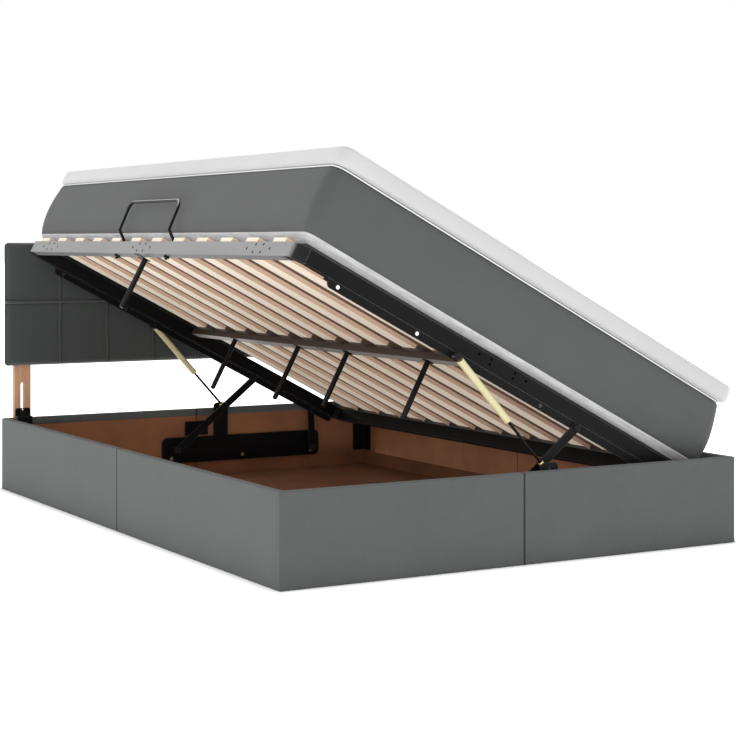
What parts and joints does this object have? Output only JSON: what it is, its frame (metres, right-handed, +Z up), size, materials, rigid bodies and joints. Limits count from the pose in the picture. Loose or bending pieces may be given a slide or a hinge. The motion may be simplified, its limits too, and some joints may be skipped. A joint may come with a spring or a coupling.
{
  "type": "ottoman storage bed",
  "caption": "Side-opening ottoman storage bed: upholstered box, gas-strut lifting slatted frame with mattress and topper, mattress stop, and a height-adjustable channelled headboard.",
  "frame": {"origin": "on the floor, in the middle of the storage box's plan, at the underside of the middle floor board", "axes": "+Z up, +Y towards the headboard, -X towards the side that opens, +X towards the side the deck turns down to"},
  "size_m": [1.4657, 2.1354, 1.0831],
  "materials": {
    "board": "smooth hardboard",
    "box_fabric": "woven",
    "headboard_fabric": "woven",
    "black_steel": "satin powder coat",
    "bolt_steel": "satin",
    "silver_steel": "satin",
    "slat_wood": "smooth, pale laminate",
    "black_plastic": "matt",
    "brass": "satin",
    "pine": "planed",
    "mattress_fabric": "woven",
    "topper_fabric": "knitted"
  },
  "bodies": {
    "base": {"foot_left_board": "board", "foot_right_board": "board", "head_left_board": "board", "head_right_board": "board", "left_side_foot_board": "board", "left_side_head_board": "board", "right_side_foot_board": "board", "right_side_head_board": "board", "foot_left_cover": "box_fabric", "foot_right_cover": "box_fabric", "head_left_cover": "box_fabric", "head_right_cover": "box_fabric", "left_side_foot_cover": "box_fabric", "left_side_head_cover": "box_fabric", "right_side_foot_cover": "box_fabric", "right_side_head_cover": "box_fabric", "floor_board_foot": "board", "floor_board_middle": "board", "floor_board_head": "board", "corner_brackets": "black_steel", "joiner_plates": "black_steel", "lift_base_foot": "black_steel", "lift_base_head": "black_steel", "lift_base_bolts": "bolt_steel", "lift_base_pivots": "bolt_steel", "headboard_clamps": "black_steel", "headboard_clamp_bolts": "black_steel"},
    "headboard": {"headboard_pad": "headboard_fabric", "headboard_piping": "headboard_fabric", "headboard_board": "board", "headboard_leg_left": "pine", "headboard_leg_right": "pine"},
    "deck": {"raised_rail": "silver_steel", "hinge_rail": "black_steel", "foot_rail": "black_steel", "head_rail": "black_steel", "centre_rail": "silver_steel", "slats_raised_row": "slat_wood", "slats_hinge_row": "slat_wood", "slat_pads": "black_plastic", "slat_holders": "black_plastic", "support_leg_raised": "black_steel", "support_legs_centre": "black_steel", "mattress_stop": "black_steel", "mattress_stop_nuts": "black_steel", "lift_plate_foot": "black_steel", "lift_plate_head": "black_steel", "lift_plate_bolts": "bolt_steel", "mattress": "mattress_fabric", "mattress_tape": "topper_fabric", "topper": "topper_fabric"},
    "lift_arm_foot": {"lift_arm_foot": "black_steel"},
    "lift_arm_head": {"lift_arm_head": "black_steel"},
    "rear_link_foot": {"rear_link_foot": "black_steel"},
    "rear_link_head": {"rear_link_head": "black_steel"},
    "gas_rod_foot": {"gas_rod_foot": "black_steel"},
    "gas_rod_head": {"gas_rod_head": "black_steel"},
    "gas_cylinder_foot": {"gas_cylinder_foot": "brass"},
    "gas_cylinder_head": {"gas_cylinder_head": "brass"}
  },
  "joints": [
    {"name": "lift", "type": "hinge", "parent": "base", "child": "lift_arm_foot", "pos_m": [-0.08997, -0.9935, 0.09972], "axis": [0, -1, 0], "range_deg": [-27.49, 0]},
    {"name": "deck_pivot", "type": "hinge", "parent": "lift_arm_foot", "child": "deck", "pos_m": [0.21098, -0.9935, 0.34234], "axis": [0, -1, 0], "range_deg": [0, 55.29]},
    {"name": "lift_head", "type": "hinge", "parent": "base", "child": "lift_arm_head", "pos_m": [-0.08997, 0.9935, 0.09972], "axis": [0, -1, 0], "range_deg": [-27.49, 0]},
    {"name": "rear_link_foot_pivot", "type": "hinge", "parent": "base", "child": "rear_link_foot", "pos_m": [0.45033, -0.9935, 0.08005], "axis": [0, -1, 0], "range_deg": [-49.41, 0]},
    {"name": "rear_link_head_pivot", "type": "hinge", "parent": "base", "child": "rear_link_head", "pos_m": [0.45033, 0.9935, 0.08005], "axis": [0, -1, 0], "range_deg": [-49.41, 0]},
    {"name": "gas_rod_foot_pivot", "type": "hinge", "parent": "base", "child": "gas_rod_foot", "pos_m": [0.095, -1.0065, 0.245], "axis": [0, -1, 0], "range_deg": [0, 63.47]},
    {"name": "gas_rod_head_pivot", "type": "hinge", "parent": "base", "child": "gas_rod_head", "pos_m": [0.095, 1.0065, 0.245], "axis": [0, -1, 0], "range_deg": [0, 63.47]},
    {"name": "gas_cylinder_foot_slide", "type": "slide", "parent": "gas_rod_foot", "child": "gas_cylinder_foot", "axis": [-0.6709, 0, 0.7416], "range_m": [-0.15215, 0]},
    {"name": "gas_cylinder_head_slide", "type": "slide", "parent": "gas_rod_head", "child": "gas_cylinder_head", "axis": [-0.6709, 0, 0.7416], "range_m": [-0.15215, 0]},
    {"name": "headboard_height", "type": "slide", "parent": "base", "child": "headboard", "axis": [0, 0, 1], "range_m": [-0.09, 0]}
  ],
  "couplings": [
    {"joint": "deck_pivot", "follows": "lift", "ratio": -2.0111},
    {"joint": "rear_link_foot_pivot", "follows": "lift", "ratio": 1.797},
    {"joint": "rear_link_head_pivot", "follows": "lift", "ratio": 1.797},
    {"joint": "gas_rod_foot_pivot", "follows": "lift", "ratio": -2.3086},
    {"joint": "gas_rod_head_pivot", "follows": "lift", "ratio": -2.3086},
    {"joint": "gas_cylinder_foot_slide", "follows": "lift", "m_per_rad": 0.31707},
    {"joint": "gas_cylinder_head_slide", "follows": "lift", "m_per_rad": 0.31707},
    {"joint": "lift_head", "follows": "lift", "ratio": 1}
  ]
}
